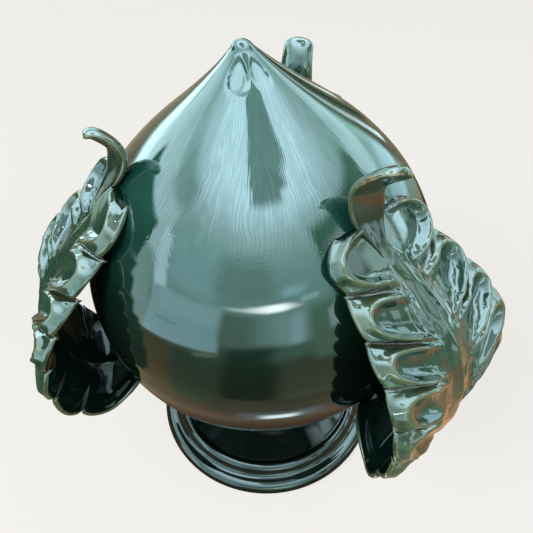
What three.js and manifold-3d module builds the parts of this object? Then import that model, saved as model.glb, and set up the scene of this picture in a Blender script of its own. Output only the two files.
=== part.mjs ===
// A glazed ceramic pumo: a closed flower bud thrown on the wheel, luted to a hollow pedestal foot,
// with three modelled acanthus leaves pressed on its shoulder and a curled strap stem over each leaf.
// Sizes are in millimetres, +Z is up, and the origin is the middle of the foot's flat underside.
import * as THREE from 'three';
import { mergeVertices } from 'three/addons/utils/BufferGeometryUtils.js';
import Module from 'manifold-3d';

const wasm = await Module();
wasm.setup();

// Clay and clearances
const wall = 6;
const seatGap = 0.3;
const roundSteps = 48;

// Foot: a bead at the rim, a smaller bead above it, and a hollow curve up to the neck
const footRadius = 69.8;
const footHeight = 56;
const neckRadius = 31;
const rimBead = 4.7;
const stepBead = 3.4;
const stepRadius = 59.5;
const rimBeadTurn = 100;
const stepBeadStart = -40;
const stepBeadTurn = 110;
const floorThickness = 6;
const floorBevel = 3;
const ventRadius = 4.5;
const ventOffset = 20;

// Bud: an ellipse below the belly, and above it a cosine with a fuller shoulder and a slight waist
const budRadius = 86;
const bellyHeight = 132.4;
const tipHeight = 248.3;
const shoulderFullness = 1.4;
const waistDepth = 2.6;
const nibRound = 5;
const nibDepth = 17;
const nibLean = 4.4;
const nibLeanStart = 205;
const nibLeanAzimuth = 197;

// Leaf: the midrib springs from the shoulder, bellies out, and curls back in to rest on the bud
const leafRootHeight = 200.4;
const leafBottomHeight = 75;
const leafBottomShift = 5;
const leafBulge = 42.5;
const leafHalfWidth = 42.5;
const leafTipHalfWidth = 5;
const leafShoulder = 6;
const leafClay = 4.8;
const leafArch = 1.5;
const leafCup = 3.5;
const leafSway = 5;
const leafCant = 1.5;
const tipRise = 8;
const crestHeight = 3;
const crestWidth = 6;
const edgeRound = 8;
const acrossSteps = 14;
// The midrib's run, as shares of the leaf's height and of its bulge beyond the bud
const midribRun = [
  [0.876, 0.13], [0.766, 0.283], [0.623, 0.518], [0.461, 0.68],
  [0.299, 0.825], [0.149, 0.952], [0.039, 1], [0, 0.82],
];
const leafWidest = 0.46;
// Each leaf was pressed by hand: shares of the bulge, bottom shift, sway and cant, and how far it tucks in
const leaves = {
  back: { azimuth: 90, bulge: 1, lift: 0, sway: 0, cant: 0, tuck: 0.07 },
  left: { azimuth: 210, bulge: 0.94, lift: -0.9, sway: 0.24, cant: 1, tuck: -0.05 },
  right: { azimuth: 330, bulge: 1.07, lift: 1.1, sway: 1, cant: -1, tuck: 0.19 },
};

// Lobes: a rolled rim round a thumbed dish, each lobe lapped over the next and swept towards the root
const lobeRim = 3.4;
const lobeDip = 2.6;
const lobeTilt = 1.4;
const lobeDish = 3.2;
const lobeLift = 2;
const lobeScallop = 0.07;
const lobeSweep = 0.13;
const lobeCalm = 0.5;
const lobeRound = 2.6;
const lobeSteps = 5;
// Where each lobe ends along the leaf's edge, as shares of its length
const lobeEnds = [0, 0.115, 0.22, 0.325, 0.44, 0.57, 0.715, 1];

// Stem: a strap that grows from the top of its leaf's midrib and hooks outward at the top
const stemLap = 14.4;
const stemRise = 34;
const stemReach = 12;
const stemHook = 3.5;
const stemShift = 3;
const stemWidth = 15;
const stemClay = 4.2;
const stemCup = 1.5;
const stemSteps = 14;
const stemSides = 12;
// Each strap was curled by hand: shares of the rise, reach and hook, where it passes on its way, and its twist
const stems = {
  back: { rise: 1, reach: 1, hook: 1, lean: 0.15, crest: 0.7, turn: 0 },
  left: { rise: 0.97, reach: 0.81, hook: 0.1, lean: -0.19, crest: 0.58, turn: 33 },
  right: { rise: 1.13, reach: 1.18, hook: -0.74, lean: 0.02, crest: 0.72, turn: -27 },
};
const stemRootHeight = leafRootHeight - stemLap;

const radians = THREE.MathUtils.degToRad;
const { smoothstep } = THREE.MathUtils;

// A bell curve, 1 at its centre
function bell(value, centre, width) {
  return Math.exp(-(((value - centre) / width) ** 2));
}

// Radius of the bud's outer face at a height
function budRadiusAt(z) {
  if (z < bellyHeight) {
    const drop = bellyHeight - Math.max(z, footHeight);
    const reach = (bellyHeight - footHeight) / Math.sqrt(1 - (neckRadius / budRadius) ** 2);
    return budRadius * Math.sqrt(1 - (drop / reach) ** 2);
  }
  // The flanks would meet a little above the tip, where a ball of clay rounds them off
  const depth = Math.max(tipHeight - z, 0);
  if (depth < nibRound * (1 - Math.SQRT1_2)) {
    return Math.sqrt(depth * (2 * nibRound - depth));
  }
  const peak = tipHeight + nibRound * (Math.SQRT2 - 1);
  const t = (z - bellyHeight) / (peak - bellyHeight);
  const fullness = shoulderFullness * Math.sin(Math.PI * t) + waistDepth * Math.sin(2 * Math.PI * t * t);
  return budRadius * Math.cos(Math.PI * t / 2) + fullness;
}

// Pushes a point out from the axis until it stands clear of the bud's face
function pressOnBud(point, clear) {
  const distance = Math.hypot(point.x, point.y);
  const least = budRadiusAt(point.z) + clear;
  if (distance < least) {
    point.x *= least / distance;
    point.y *= least / distance;
  }
  return point;
}

// A closed skin over a row of rings with the same number of points, with a flat cap at each end
function loft(rings) {
  const sides = rings[0].length;
  const positions = rings.flat().flatMap((p) => [p.x, p.y, p.z]);
  const index = [];
  for (let i = 0; i < rings.length - 1; i += 1) {
    for (let j = 0; j < sides; j += 1) {
      const a = i * sides + j;
      const b = i * sides + (j + 1) % sides;
      index.push(a, b, a + sides, b, b + sides, a + sides);
    }
  }
  const last = (rings.length - 1) * sides;
  for (let j = 1; j < sides / 2; j += 1) {
    const [a, b, c, d] = [j - 1, j, sides - j, (sides - j + 1) % sides];
    const cap = a === d ? [a, c, b] : [a, c, b, a, d, c];
    index.push(...cap, ...cap.map((vertex) => last + vertex).reverse());
  }
  const [before, middle, after] = [sides / 2 - 1, sides / 2, sides / 2 + 1];
  index.push(before, after, middle, last + before, last + middle, last + after);
  const geometry = new THREE.BufferGeometry();
  geometry.setAttribute('position', new THREE.Float32BufferAttribute(positions, 3));
  geometry.setIndex(index);
  return geometry;
}

function toSolid(geometry) {
  const bare = geometry.clone();
  bare.deleteAttribute('normal');
  bare.deleteAttribute('uv');
  const merged = mergeVertices(bare, 1e-4);
  const mesh = new wasm.Mesh({
    numProp: 3,
    vertProperties: new Float32Array(merged.attributes.position.array),
    triVerts: new Uint32Array(merged.index.array),
  });
  return new wasm.Manifold(mesh);
}

function toGeometry(solid) {
  const mesh = solid.getMesh();
  const geometry = new THREE.BufferGeometry();
  geometry.setAttribute('position', new THREE.BufferAttribute(new Float32Array(mesh.vertProperties), 3));
  geometry.setIndex(new THREE.BufferAttribute(new Uint32Array(mesh.triVerts), 1));
  return geometry;
}

// A round solid about the Z axis from its profile of [radius, height], upwards on the outside
function revolve(profile) {
  const points = profile.map(([r, z]) => new THREE.Vector2(Math.max(r, 0), z));
  return new THREE.LatheGeometry(points, roundSteps).rotateX(Math.PI / 2);
}

function arc(radius, height, size, from, to, steps) {
  return Array.from({ length: steps + 1 }, (_, i) => {
    const angle = radians(from + (to - from) * i / steps);
    return [radius + size * Math.cos(angle), height + size * Math.sin(angle)];
  });
}

function makeFoot() {
  const stepHeight = 2 * rimBead + 0.6 * stepBead;
  const hollowStart = stepHeight + stepBead;
  const throat = (s, inset) => {
    const radius = neckRadius + (stepRadius - 1.6 * stepBead - neckRadius) * (1 - s) ** 2.3;
    return radius - inset;
  };
  const steps = 9;
  const outer = Array.from({ length: steps + 1 }, (_, i) => {
    const s = i / steps;
    return [throat(s, 0), hollowStart + (footHeight - seatGap - hollowStart) * s];
  });
  const inner = Array.from({ length: steps - 1 }, (_, i) => {
    const s = 1 - i / (steps - 1);
    const low = floorThickness + floorBevel;
    return [throat(s, wall), low + (footHeight - seatGap - low) * s];
  });
  const innerCorner = inner[inner.length - 1][0];
  const profile = [
    [0, 0],
    ...arc(footRadius - rimBead, rimBead, rimBead, -90, rimBeadTurn, 9),
    ...arc(stepRadius - stepBead, stepHeight, stepBead, stepBeadStart, stepBeadTurn, 6),
    ...outer,
    ...inner,
    [innerCorner - floorBevel, floorThickness],
    [0, floorThickness],
  ];
  const vent = new THREE.CylinderGeometry(ventRadius, ventRadius, 4 * floorThickness, 16);
  vent.rotateX(Math.PI / 2).translate(0, ventOffset, 0);
  return toGeometry(toSolid(revolve(profile)).subtract(toSolid(vent)));
}

function makeBud() {
  const outerSteps = 30;
  const innerSteps = 16;
  // Heights bunch up towards the nib and the neck, where the profile turns most
  const spread = (s) => (1 - Math.cos(Math.PI * s)) / 2;
  const outer = Array.from({ length: outerSteps + 1 }, (_, i) => {
    const z = footHeight + (tipHeight - footHeight) * spread(i / outerSteps);
    return [i === outerSteps ? 0 : budRadiusAt(z), z];
  });
  const inner = Array.from({ length: innerSteps + 1 }, (_, i) => {
    const z = tipHeight + (footHeight - tipHeight) * spread(i / innerSteps);
    const step = wall / 12;
    const slope = (budRadiusAt(z + step) - budRadiusAt(z - step)) / (2 * step);
    const lean = Math.min(Math.abs(slope), 1.2);
    const lowered = z > bellyHeight ? wall * lean / Math.hypot(1, lean) : 0;
    return [budRadiusAt(z) - wall / Math.hypot(1, lean), z - lowered];
  }).filter(([r, z]) => r > wall && z < tipHeight - nibDepth);
  inner[inner.length - 1] = [neckRadius - wall, footHeight];
  const geometry = revolve([[0, tipHeight - nibDepth], ...inner, ...outer]);
  const place = geometry.attributes.position;
  for (let i = 0; i < place.count; i += 1) {
    const share = Math.max(0, (place.getZ(i) - nibLeanStart) / (tipHeight - nibLeanStart));
    const shift = nibLean * share ** 1.6;
    place.setX(i, place.getX(i) + shift * Math.cos(radians(nibLeanAzimuth)));
    place.setY(i, place.getY(i) + shift * Math.sin(radians(nibLeanAzimuth)));
  }
  return toGeometry(toSolid(geometry));
}

// A leaf's midrib on its outer face, in the upright plane through the axis: x is the distance from it
function midribCurve({ bulge, lift, tuck }) {
  const bottom = leafBottomHeight + leafBottomShift * lift;
  const points = midribRun.map(([up, out]) => {
    const z = bottom + (leafRootHeight - bottom) * up;
    const tucked = 1 - tuck * (1 - smoothstep(up, 0.1, 0.75));
    return new THREE.Vector3(budRadiusAt(z) + leafBulge * bulge * out * tucked, 0, z);
  });
  const root = new THREE.Vector3(budRadiusAt(leafRootHeight) + leafClay, 0, leafRootHeight);
  const tipZ = bottom + tipRise;
  const tip = new THREE.Vector3(budRadiusAt(tipZ) + seatGap + 0.3 * leafClay, 0, tipZ);
  return new THREE.CatmullRomCurve3([root, ...points, tip], false, 'centripetal');
}

// How far through its lobe a station lies, from 0 at the upper valley to 1 at the lower one
function lobePhase(w) {
  const lobe = Math.max(lobeEnds.findIndex((end) => w < end), 1) - 1;
  return w >= 1 ? 1 : (w - lobeEnds[lobe]) / (lobeEnds[lobe + 1] - lobeEnds[lobe]);
}

// How full the leaf is at a share of the midrib: 1 where it is widest, and near 0 at both ends
function leafTaper(u) {
  const root = 0.93 * Math.max((leafWidest - u) / leafWidest, 0) ** 1.4;
  const tip = 0.985 * Math.max((u - leafWidest) / (1 - leafWidest), 0) ** 1.9;
  return Math.sqrt(Math.max(1 - root - tip, 0));
}

// The lobes' height above the leaf's plain face. Reach is 1 on a lobe's border, a is 1 at the leaf's edge
function lobeRelief(phase, a) {
  const p = 2 * phase - 1;
  const q = Math.max((a - 0.45) / 0.55, 0);
  const reach = (Math.abs(p) ** lobeRound + q ** lobeRound) ** (1 / lobeRound);
  const rolled = lobeRim * bell(reach, 0.76, 0.17);
  const valley = lobeDip * smoothstep(Math.abs(p), 0.88, 1) * smoothstep(a, 0.15, 0.75);
  const tilt = lobeTilt * p * smoothstep(a, 0.3, 0.8);
  const dish = lobeDish * bell(p, 0.1, 0.5) * bell(a, 0.56, 0.25);
  return (rolled - valley + tilt + lobeLift) * smoothstep(a, 0.1, 0.5) - dish;
}

// One leaf as a closed skin; grow thickens it all round, for cutting what is pressed on it
function makeLeaf(leaf, grow = 0) {
  const curve = midribCurve(leaf);
  const turn = radians(leaf.azimuth);
  const stations = [];
  for (let k = 0; k < lobeEnds.length - 1; k += 1) {
    for (let i = 0; i < lobeSteps; i += 1) {
      stations.push(lobeEnds[k] + (lobeEnds[k + 1] - lobeEnds[k]) * i / lobeSteps);
    }
  }
  stations.push(1);
  const rings = stations.map((w) => {
    const phase = lobePhase(w);
    const swell = Math.sin(Math.PI * phase) ** 0.5;
    const swept = smoothstep(w, 0, 0.2) * (1 - smoothstep(w, 0.55, 1));
    const end = Math.min(1, 0.5 + 6 * Math.min(w, 1 - w));
    const place = (v, face) => {
      const a = Math.abs(v);
      // The lobes sweep, so that a ring meets the midrib further down than it meets the edge
      const u = w + lobeSweep * (1 - a) * swept;
      const run = curve.getTangentAt(u);
      const spine = curve.getPointAt(u).addScaledVector(run, grow * (Number(w === 1) - Number(w === 0)));
      const taper = leafTaper(u);
      const half = leafTipHalfWidth + (leafHalfWidth - leafTipHalfWidth) * taper + leafShoulder * bell(u, 0.04, 0.06);
      const width = half * (1 - lobeScallop + 1.3 * lobeScallop * swell) + grow;
      const arch = (leafArch + leafCup * bell(u, 0.8, 0.18)) * taper;
      const rounded = Math.sqrt(1 - a ** edgeRound);
      const crest = crestHeight * Math.exp(-a * half / crestWidth) * Math.sqrt(taper) * (face > 0 ? 1 : 0.6);
      // The inner face follows the lobes in part, and both faces meet at the rounded edge
      const follow = 0.75 * smoothstep(a, 0.3, 0.9);
      const share = face > 0 ? follow + (1 - follow) * rounded : follow;
      const relief = lobeRelief(phase, a) * (1 - lobeCalm * smoothstep(u, 0.35, 0.7)) * end * share;
      const skin = face * (leafClay / 2 * end * rounded + grow);
      const cant = leafCant * leaf.cant * v * taper;
      const offset = skin + relief + crest + cant - leafClay / 2 - crestHeight - arch * a * a;
      const rho = spine.x - run.z * offset;
      const tau = v * width + leafSway * leaf.sway * Math.sin(Math.PI * Math.min(u / 0.8, 1));
      const point = new THREE.Vector3(
        rho * Math.cos(turn) - tau * Math.sin(turn),
        rho * Math.sin(turn) + tau * Math.cos(turn),
        spine.z + run.x * offset,
      );
      const clear = face > 0 ? 0.9 * leafClay * Math.max(rounded, 0.25) + grow : -grow;
      return pressOnBud(point, 1.5 * seatGap + clear);
    };
    const across = (j) => Math.sin(Math.PI / 2 * (1 - 2 * j / acrossSteps));
    const front = Array.from({ length: acrossSteps + 1 }, (_, j) => place(across(j), 1));
    const behind = Array.from({ length: acrossSteps - 1 }, (_, j) => place(across(acrossSteps - 1 - j), -1));
    return [...front, ...behind];
  });
  return loft(rings);
}

// One strap stem, swept up from the leaf's midrib, cut to sit on its leaf
function makeStem(leaf, { rise, reach, hook, lean, crest, turn }) {
  const root = budRadiusAt(stemRootHeight) + 1.2 * leafClay;
  const base = budRadiusAt(leafRootHeight) + 0.5 * leafClay;
  const tall = stemRise * rise;
  const out = stemReach * reach;
  const curve = new THREE.CatmullRomCurve3([
    new THREE.Vector3(root, 0, stemRootHeight),
    new THREE.Vector3(base + 0.43 * leafClay, 0, stemRootHeight + 0.36 * tall),
    new THREE.Vector3(base + lean * out, 0, stemRootHeight + 0.72 * tall),
    new THREE.Vector3(base + crest * out, 0, stemRootHeight + tall),
    new THREE.Vector3(base + out, 0, stemRootHeight + tall - stemHook * hook),
  ], false, 'centripetal');
  const around = radians(leaf.azimuth);
  const rings = Array.from({ length: stemSteps + 1 }, (_, i) => {
    const s = i / stemSteps;
    const spine = curve.getPointAt(s);
    const run = curve.getTangentAt(s);
    const twist = radians(turn) * smoothstep(s, 0.1, 0.9);
    const end = Math.sqrt(1 - 0.9 * Math.abs(2 * s - 1) ** 14);
    const flare = 1 + 0.25 * (1 - smoothstep(s, 0, 0.45)) - 0.1 * smoothstep(s, 0.4, 0.9);
    const thick = stemClay / 2 * end * (0.45 + 0.55 * smoothstep(s, 0, 0.25));
    return Array.from({ length: stemSides }, (__, j) => {
      const angle = 2 * Math.PI * (j + 0.5) / stemSides;
      const v = Math.sign(Math.cos(angle)) * Math.abs(Math.cos(angle)) ** 0.6;
      const flat = v * stemWidth / 2 * flare * end;
      const deep = Math.sin(angle) * thick - stemCup * v * v;
      const tau = flat * Math.cos(twist) - deep * Math.sin(twist) - stemShift;
      const offset = flat * Math.sin(twist) + deep * Math.cos(twist);
      const rho = spine.x - run.z * offset;
      const point = new THREE.Vector3(
        rho * Math.cos(around) - tau * Math.sin(around),
        rho * Math.sin(around) + tau * Math.cos(around),
        spine.z + run.x * offset,
      );
      return pressOnBud(point, 1.5 * seatGap + 0.4 * stemClay * (1 - Math.sin(angle)));
    });
  });
  const strap = toSolid(loft(rings));
  const cut = strap.subtract(toSolid(makeLeaf(leaf, 2 * seatGap)));
  const pieces = cut.decompose();
  const largest = pieces.reduce((a, b) => (a.volume() > b.volume() ? a : b));
  return toGeometry(largest);
}

const glazes = {
  bud: { color: 0x2f5a52, roughness: 0.08 },
  foot: { color: 0x16251f, roughness: 0.1 },
  leaf: { color: 0x4a5f43, roughness: 0.12 },
  stem: { color: 0x5c6444, roughness: 0.12 },
};

const group = new THREE.Group();

function addPiece(name, geometry, glaze) {
  const material = new THREE.MeshStandardMaterial({ ...glazes[glaze], metalness: 0 });
  const mesh = new THREE.Mesh(geometry, material);
  mesh.name = name;
  group.add(mesh);
}

addPiece('foot', makeFoot(), 'foot');
addPiece('bud', makeBud(), 'bud');
for (const [side, leaf] of Object.entries(leaves)) {
  addPiece(`leaf_${side}`, toGeometry(toSolid(makeLeaf(leaf))), 'leaf');
  addPiece(`stem_${side}`, makeStem(leaf, stems[side]), 'stem');
}

export default group;
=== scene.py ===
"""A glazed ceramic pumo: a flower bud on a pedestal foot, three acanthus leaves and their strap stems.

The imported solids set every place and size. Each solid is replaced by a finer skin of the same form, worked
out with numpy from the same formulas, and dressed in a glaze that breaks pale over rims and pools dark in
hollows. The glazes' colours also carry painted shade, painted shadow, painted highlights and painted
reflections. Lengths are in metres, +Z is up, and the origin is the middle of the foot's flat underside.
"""

from __future__ import annotations

import logging
import math
from collections.abc import Callable
from dataclasses import dataclass
from enum import Enum

import bpy
import numpy as np
from mathutils import Matrix, Vector

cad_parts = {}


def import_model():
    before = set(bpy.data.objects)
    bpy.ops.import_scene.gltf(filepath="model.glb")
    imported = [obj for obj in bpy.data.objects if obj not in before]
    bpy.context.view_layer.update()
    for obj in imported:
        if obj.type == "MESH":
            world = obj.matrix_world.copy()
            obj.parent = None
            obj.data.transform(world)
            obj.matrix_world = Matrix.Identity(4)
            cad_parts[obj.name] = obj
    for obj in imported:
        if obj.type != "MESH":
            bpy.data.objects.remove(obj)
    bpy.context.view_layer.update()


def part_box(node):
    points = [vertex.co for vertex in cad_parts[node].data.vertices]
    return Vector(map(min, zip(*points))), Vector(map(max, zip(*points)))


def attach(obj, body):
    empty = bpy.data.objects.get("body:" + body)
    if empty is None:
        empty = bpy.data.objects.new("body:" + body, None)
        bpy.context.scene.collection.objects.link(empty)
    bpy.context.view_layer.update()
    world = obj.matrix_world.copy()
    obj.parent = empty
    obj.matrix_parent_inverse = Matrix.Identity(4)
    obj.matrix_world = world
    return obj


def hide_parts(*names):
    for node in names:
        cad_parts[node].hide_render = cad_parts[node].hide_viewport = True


log = logging.getLogger("pumo")

MM = 0.001

Array = np.ndarray
Colour = tuple[float, float, float]
Span = tuple[float, float]


class Side(Enum):
    """The three places round the bud, each with its azimuth in degrees from +X."""

    BACK = 90.0
    LEFT = 210.0
    RIGHT = 330.0

    @property
    def label(self) -> str:
        """The side's word, as the solids' names spell it."""
        return self.name.lower()

    @property
    def turn(self) -> float:
        """The azimuth in radians."""
        return math.radians(self.value)


def smooth(low: float, high: float, value: Array) -> Array:
    """Carries values from 0 at low to 1 at high: 3 s squared less 2 s cubed, for a share s of the way."""
    share = np.clip((value - low) / (high - low), 0.0, 1.0)
    return share * share * (3.0 - 2.0 * share)


def bell(value: Array, centre: float, width: float) -> Array:
    """A bell curve, 1 at its centre: e to the minus square of the distance over the width."""
    return np.exp(-(((value - centre) / width) ** 2))


def window(value: Array, low: float, high: float, soft: float) -> Array:
    """1 from low to high and 0 elsewhere, where each edge is a smooth step that is soft to both sides."""
    return smooth(low - soft, low + soft, value) * (1.0 - smooth(high - soft, high + soft, value))


class Spine:
    """A centripetal Catmull-Rom curve through points of a plane, read by its share of length."""

    samples = 900

    def __init__(self, points: list[Span]) -> None:
        """Samples the curve once, evenly in each span.

        Args:
            points: the points that it passes through.
        """
        p = np.array(points, dtype=float)
        p = np.vstack([2.0 * p[0] - p[1], p, 2.0 * p[-1] - p[-2]])
        spans = len(p) - 3
        t = np.linspace(0.0, spans, self.samples)
        k = np.minimum(t.astype(int), spans - 1)
        s = (t - k)[:, None]
        a, b, c, d = p[k], p[k + 1], p[k + 2], p[k + 3]
        da, db, dc = (np.linalg.norm(y - x, axis=1)[:, None] ** 0.5 for x, y in ((a, b), (b, c), (c, d)))
        leave = ((b - a) / da - (c - a) / (da + db) + (c - b) / db) * db
        arrive = ((c - b) / db - (d - b) / (db + dc) + (d - c) / dc) * db
        bend = -3.0 * b + 3.0 * c - 2.0 * leave - arrive
        turn = 2.0 * b - 2.0 * c + leave + arrive
        self.points = b + leave * s + bend * s**2 + turn * s**3
        steps = np.linalg.norm(np.diff(self.points, axis=0), axis=1)
        self.share = np.concatenate([[0.0], np.cumsum(steps)]) / steps.sum()

    def at(self, u: Array) -> Array:
        """The points at shares of the length, one row each."""
        return np.stack([np.interp(u, self.share, self.points[:, i]) for i in range(2)], axis=-1)

    def along(self, u: Array) -> Array:
        """The unit directions of travel at shares of the length, one row each."""
        step = 0.004
        run = self.at(np.minimum(u + step, 1.0)) - self.at(np.maximum(u - step, 0.0))
        return run / np.linalg.norm(run, axis=-1, keepdims=True)


def ring_faces(rings: int, sides: int) -> Array:
    """Quads that join each ring of a closed tube to the next.

    Args:
        rings: how many rings there are.
        sides: how many points each ring has, counter-clockwise about the direction of travel.

    Returns:
        An array of quads, with faces that point outwards.
    """
    i, j = np.meshgrid(np.arange(rings - 1), np.arange(sides), indexing="ij")
    a, b = i * sides + j, i * sides + (j + 1) % sides
    return np.stack([a, b, b + sides, a + sides], axis=-1).reshape(-1, 4)


def folded_faces(rings: int, sides: int) -> list:
    """Faces of a tube whose end rings are folded shut, each point joined to the one across the ring.

    Args:
        rings: how many rings there are.
        sides: how many points each ring has.

    Returns:
        The faces, with the far end's turned round, so that all point outwards.
    """
    near, half = [], sides // 2
    for j in range(1, half):
        a, b, c, d = j - 1, j, sides - j, (sides - j + 1) % sides
        near.append((a, c, b) if a == d else (a, d, c, b))
    near.append((half - 1, half + 1, half))
    far = [tuple((rings - 1) * sides + v for v in face[::-1]) for face in near]
    return ring_faces(rings, sides).tolist() + near + far


def revolve(radius: Array, height: Array, angle: Array) -> Array:
    """Points at bearings about the axis: the radius times the cosine and the sine, and the height."""
    parts = np.broadcast_arrays(radius * np.cos(angle), radius * np.sin(angle), height)
    return np.stack(parts, axis=-1).reshape(-1, 3)


def make_object(name: str, points: Array, faces: list, marks: dict[str, Array]) -> bpy.types.Object:
    """Puts a surface into a smooth-shaded mesh object at the origin.

    Args:
        name: the piece's name.
        points: one row for each vertex, in metres.
        faces: vertex numbers of each face.
        marks: values by name, one for each vertex, for the glazes to read.

    Returns:
        The linked object.
    """
    mesh = bpy.data.meshes.new(name)
    mesh.from_pydata(points.tolist(), [], faces)
    mesh.validate()
    mesh.polygons.foreach_set("use_smooth", np.ones(len(mesh.polygons), dtype=bool))
    for mark, values in marks.items():
        layer = mesh.attributes.new(mark, "FLOAT", "POINT")
        layer.data.foreach_set("value", values.astype(np.float32).ravel())
    mesh.update()
    piece = bpy.data.objects.new(name, mesh)
    bpy.context.scene.collection.objects.link(piece)
    return piece


def maths(operation: str, flip: bool = False) -> Callable[..., Wire]:
    """Makes a method of Wire that adds one Math node.

    Args:
        operation: the node's operation.
        flip: puts the wire last, for a reflected form.

    Returns:
        The method.
    """

    def method(wire: Wire, *others: Wire | float) -> Wire:
        """The operation's result."""
        values = (*others, wire) if flip else (wire, *others)
        return wire.bench.node("ShaderNodeMath", {"operation": operation}, dict(enumerate(values)))

    return method


class Wire:
    """A shader socket that takes part in Python arithmetic, each operation adding one Math node."""

    __add__ = __radd__ = maths("ADD")
    __sub__, __rsub__ = maths("SUBTRACT"), maths("SUBTRACT", flip=True)
    __mul__ = __rmul__ = maths("MULTIPLY")
    __truediv__, __rtruediv__ = maths("DIVIDE"), maths("DIVIDE", flip=True)
    __pow__, __rpow__ = maths("POWER"), maths("POWER", flip=True)
    least, most = maths("MINIMUM"), maths("MAXIMUM")
    sine, bearing = maths("SINE"), maths("ARCTAN2")

    def __init__(self, bench: Bench, socket: bpy.types.NodeSocket) -> None:
        """Keeps the socket and the bench that owns its nodes."""
        self.bench = bench
        self.socket = socket

    def rise(self, low: float, high: float, base: float = 0.0) -> Wire:
        """A smooth step from 0 at low to 1 at high, both counted from a base."""
        sockets = {0: self, 1: base + low, 2: base + high, 3: 0.0, 4: 1.0}
        return self.bench.node("ShaderNodeMapRange", {"interpolation_type": "SMOOTHSTEP"}, sockets)


class Bench:
    """Builds the nodes of one material or world."""

    def __init__(self, owner: bpy.types.Material | bpy.types.World) -> None:
        """Turns the nodes on and finds the shader that they start with.

        Args:
            owner: a new material or world.
        """
        owner.use_nodes = True
        self.owner, self.tree = owner, owner.node_tree
        self.shader = next(n for n in self.tree.nodes if n.type in ("BSDF_PRINCIPLED", "BACKGROUND"))

    @classmethod
    def material(cls, name: str) -> Bench:
        """The bench of a new material."""
        return cls(bpy.data.materials.new(name))

    def node(self, kind: str, settings: dict, sockets: dict, out: int | str = 0) -> Wire:
        """Adds a node.

        Args:
            kind: the node's type.
            settings: its properties, set before its sockets.
            sockets: values or wires by input name or number.
            out: the output to hand back.

        Returns:
            The output's wire.
        """
        made = self.tree.nodes.new(kind)
        for key, value in settings.items():
            setattr(made, key, value)
        for key, value in sockets.items():
            self.feed(made.inputs[key], value)
        return Wire(self, made.outputs[out])

    def feed(self, socket: bpy.types.NodeSocket, value: Wire | float | Colour) -> None:
        """Links a wire to a socket, or sets the socket's own number or opaque colour.

        Args:
            socket: the input to feed.
            value: what feeds it.
        """
        if isinstance(value, Wire):
            self.tree.links.new(value.socket, socket)
        else:
            socket.default_value = (*value, 1.0) if isinstance(value, tuple) else value

    def shade(self, sockets: dict[str, Wire | float | Colour]) -> bpy.types.Material | bpy.types.World:
        """Feeds the starting shader.

        Args:
            sockets: what feeds it, by the inputs' names.

        Returns:
            The material or the world.
        """
        for name, value in sockets.items():
            self.feed(self.shader.inputs[name], value)
        return self.owner

    def veil(self, share: Wire, over: Wire) -> None:
        """Mixes another shader over the starting one, and leads the mix to the output.

        Args:
            share: how much of the other shows.
            over: the other shader.
        """
        under = Wire(self, self.shader.outputs[0])
        mixed = self.node("ShaderNodeMixShader", {}, {0: share, 1: under, 2: over})
        output = next(n for n in self.tree.nodes if n.type.startswith("OUTPUT"))
        self.feed(output.inputs[0], mixed)

    def ray(self, kind: str) -> Wire:
        """1 for rays of a kind, and 0 for all others."""
        return self.node("ShaderNodeLightPath", {}, {}, f"Is {kind} Ray")

    def place(self) -> Wire:
        """The point's place in the object, in metres."""
        return self.node("ShaderNodeTexCoord", {}, {}, "Object")

    def mark(self, name: str, out: str = "Fac") -> Wire:
        """A value that the mesh carries at each vertex."""
        return self.node("ShaderNodeAttribute", {"attribute_name": name}, {}, out)

    def axes(self, vector: Wire) -> tuple[Wire, Wire, Wire]:
        """A vector's three parts."""
        split = self.node("ShaderNodeSeparateXYZ", {}, {0: vector})
        return tuple(Wire(self, out) for out in split.socket.node.outputs)

    def vector(self, x: Wire | float, y: Wire | float, z: Wire | float) -> Wire:
        """A vector from its parts."""
        return self.node("ShaderNodeCombineXYZ", {}, {0: x, 1: y, 2: z})

    def noise(self, where: Wire, scale: float, detail: float, rough: float, warp: float = 0.0) -> Wire:
        """Seedless noise from 0 to 1 at a place.

        Args:
            where: the place.
            scale: how many features there are in each unit of length.
            detail: how many finer layers are added.
            rough: how strong the finer layers are.
            warp: how much the pattern swirls.

        Returns:
            The noise's wire.
        """
        sockets = {"Vector": where, "Scale": scale, "Detail": detail, "Roughness": rough, "Distortion": warp}
        return self.node("ShaderNodeTexNoise", {}, sockets)

    def blend(self, share: Wire, low: Wire | Colour, high: Wire | Colour) -> Wire:
        """Mixes two colours by a share from 0 to 1."""
        sockets = {0: share, 6: low, 7: high}
        return self.node("ShaderNodeMix", {"data_type": "RGBA", "clamp_factor": True}, sockets, 2)

    def bump(self, height: Wire, depth: float, after: Wire | None = None) -> Wire:
        """Tilts the surface by a height that varies from 0 to 1.

        Args:
            height: the height's wire.
            depth: how far 1 stands above 0, in metres.
            after: a bump to add this one to.

        Returns:
            The tilted normal's wire.
        """
        sockets = {"Strength": 1.0, "Distance": depth, "Height": height}
        return self.node("ShaderNodeBump", {}, sockets if after is None else {**sockets, "Normal": after})


@dataclass(frozen=True)
class Gloss:
    """How a glaze shines: its own index, and the index and roughness of the clear coat over it.

    Where the glaze's own index is low, nearly all of its shine is the coat's.
    """

    ior: float = 1.62
    coat_ior: float = 1.5
    coat_roughness: float = 0.02

    def sockets(self) -> dict[str, float]:
        """The shader's fixed values, by the names of its inputs."""
        return {"IOR": self.ior, "Coat IOR": self.coat_ior, "Coat Roughness": self.coat_roughness}


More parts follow.
